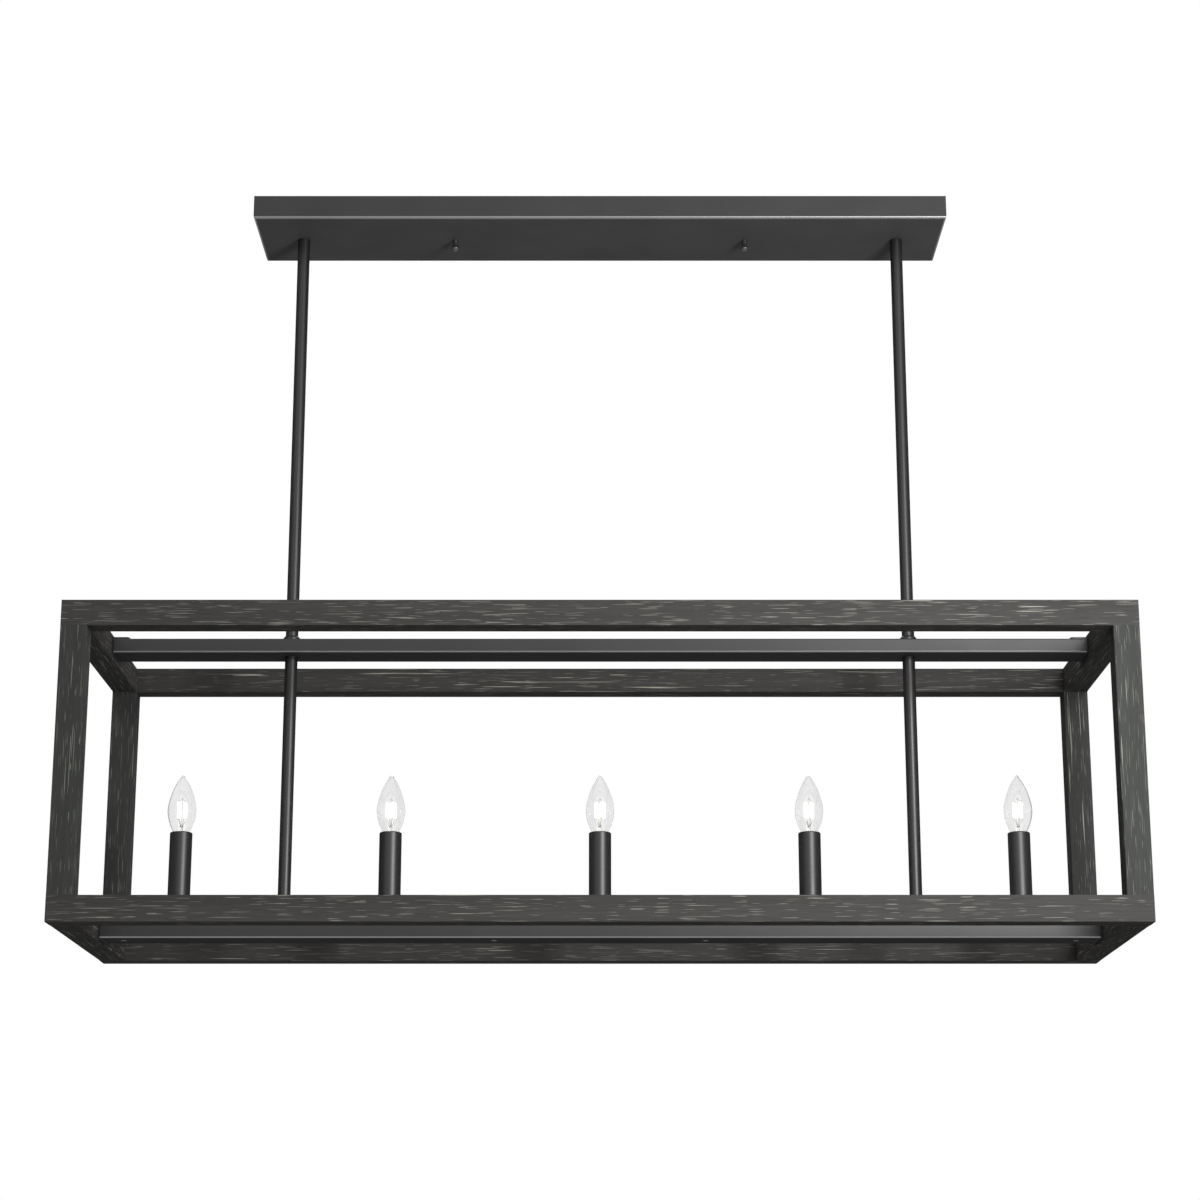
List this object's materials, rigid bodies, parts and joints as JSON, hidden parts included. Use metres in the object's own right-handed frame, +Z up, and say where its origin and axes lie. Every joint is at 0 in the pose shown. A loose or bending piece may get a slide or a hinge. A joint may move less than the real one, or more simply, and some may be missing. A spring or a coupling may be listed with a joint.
{
  "type": "linear island pendant",
  "caption": "Open box frame of dark timber hung from a long ceiling canopy on rigid rods, with a row of upright candle lamps on a crossbar inside.",
  "frame": {"origin": "centre of the ceiling plane, on the top face of the mounting strap", "axes": "+X along the frame to the viewer's right, +Y away from the viewer, +Z up"},
  "size_m": [1.0414, 0.3112, 0.7757],
  "materials": {
    "satin_black_paint": "satin black powder coat",
    "satin_black_sleeve": "smooth satin black",
    "charcoal_timber": "charcoal stain over open grain with pale flecks left in the pores",
    "bare_beech": "bare",
    "zinc_plated_steel": "zinc plated",
    "black_screws": "blackened",
    "green_screw": "green plated",
    "black_moulding": "moulded",
    "clear_glass": "clear",
    "nickel_cap": "nickel plated",
    "filament": "phosphor-coated bars on a glass stem"
  },
  "bodies": {
    "fixture": {"canopy": "satin_black_paint", "mounting_strap": "zinc_plated_steel", "strap_studs": "zinc_plated_steel", "strap_stud_nuts": "zinc_plated_steel", "ground_screw": "green_screw", "threaded_nipples": "zinc_plated_steel", "nipple_locknuts": "zinc_plated_steel", "downrod_left": "satin_black_paint", "inner_rod_left": "satin_black_paint", "downrod_right": "satin_black_paint", "inner_rod_right": "satin_black_paint", "rod_collars": "satin_black_paint", "upper_crossbar": "satin_black_paint", "lower_channel": "satin_black_paint", "lamp_plate": "satin_black_paint", "channel_screws": "black_screws", "end_brackets": "satin_black_paint", "bracket_wood_screws": "black_screws", "bracket_tab_screws": "black_screws", "long_rail_top_front": "charcoal_timber", "long_rail_top_back": "charcoal_timber", "end_rail_top_left": "charcoal_timber", "end_rail_top_right": "charcoal_timber", "long_rail_bottom_front": "charcoal_timber", "long_rail_bottom_back": "charcoal_timber", "end_rail_bottom_left": "charcoal_timber", "end_rail_bottom_right": "charcoal_timber", "post_front_left": "charcoal_timber", "post_front_right": "charcoal_timber", "post_back_left": "charcoal_timber", "post_back_right": "charcoal_timber", "loose_tenons": "bare_beech", "lampholder_legs": "zinc_plated_steel", "candle_sleeve_1": "satin_black_sleeve", "lampholder_1": "black_moulding", "candle_sleeve_2": "satin_black_sleeve", "lampholder_2": "black_moulding", "candle_sleeve_3": "satin_black_sleeve", "lampholder_3": "black_moulding", "candle_sleeve_4": "satin_black_sleeve", "lampholder_4": "black_moulding", "candle_sleeve_5": "satin_black_sleeve", "lampholder_5": "black_moulding"},
    "bulb_1": {"bulb_1_glass": "clear_glass", "bulb_1_cap": "nickel_cap", "bulb_1_filaments": "filament"},
    "bulb_2": {"bulb_2_glass": "clear_glass", "bulb_2_cap": "nickel_cap", "bulb_2_filaments": "filament"},
    "bulb_3": {"bulb_3_glass": "clear_glass", "bulb_3_cap": "nickel_cap", "bulb_3_filaments": "filament"},
    "bulb_4": {"bulb_4_glass": "clear_glass", "bulb_4_cap": "nickel_cap", "bulb_4_filaments": "filament"},
    "bulb_5": {"bulb_5_glass": "clear_glass", "bulb_5_cap": "nickel_cap", "bulb_5_filaments": "filament"},
    "thumb_nut_left": {"thumb_nut_left": "satin_black_paint"},
    "thumb_nut_right": {"thumb_nut_right": "satin_black_paint"}
  },
  "joints": [
    {"name": "bulb_1_lift", "type": "slide", "parent": "fixture", "child": "bulb_1", "axis": [0, 0, 1], "range_m": [0, 0.03]},
    {"name": "bulb_2_lift", "type": "slide", "parent": "fixture", "child": "bulb_2", "axis": [0, 0, 1], "range_m": [0, 0.03]},
    {"name": "bulb_3_lift", "type": "slide", "parent": "fixture", "child": "bulb_3", "axis": [0, 0, 1], "range_m": [0, 0.03]},
    {"name": "bulb_4_lift", "type": "slide", "parent": "fixture", "child": "bulb_4", "axis": [0, 0, 1], "range_m": [0, 0.03]},
    {"name": "bulb_5_lift", "type": "slide", "parent": "fixture", "child": "bulb_5", "axis": [0, 0, 1], "range_m": [0, 0.03]},
    {"name": "thumb_nut_left_turn", "type": "hinge", "parent": "fixture", "child": "thumb_nut_left", "pos_m": [-0.154, 0, -0.03], "axis": [0, 0, 1], "continuous": true},
    {"name": "thumb_nut_right_turn", "type": "hinge", "parent": "fixture", "child": "thumb_nut_right", "pos_m": [0.154, 0, -0.03], "axis": [0, 0, 1], "continuous": true}
  ]
}
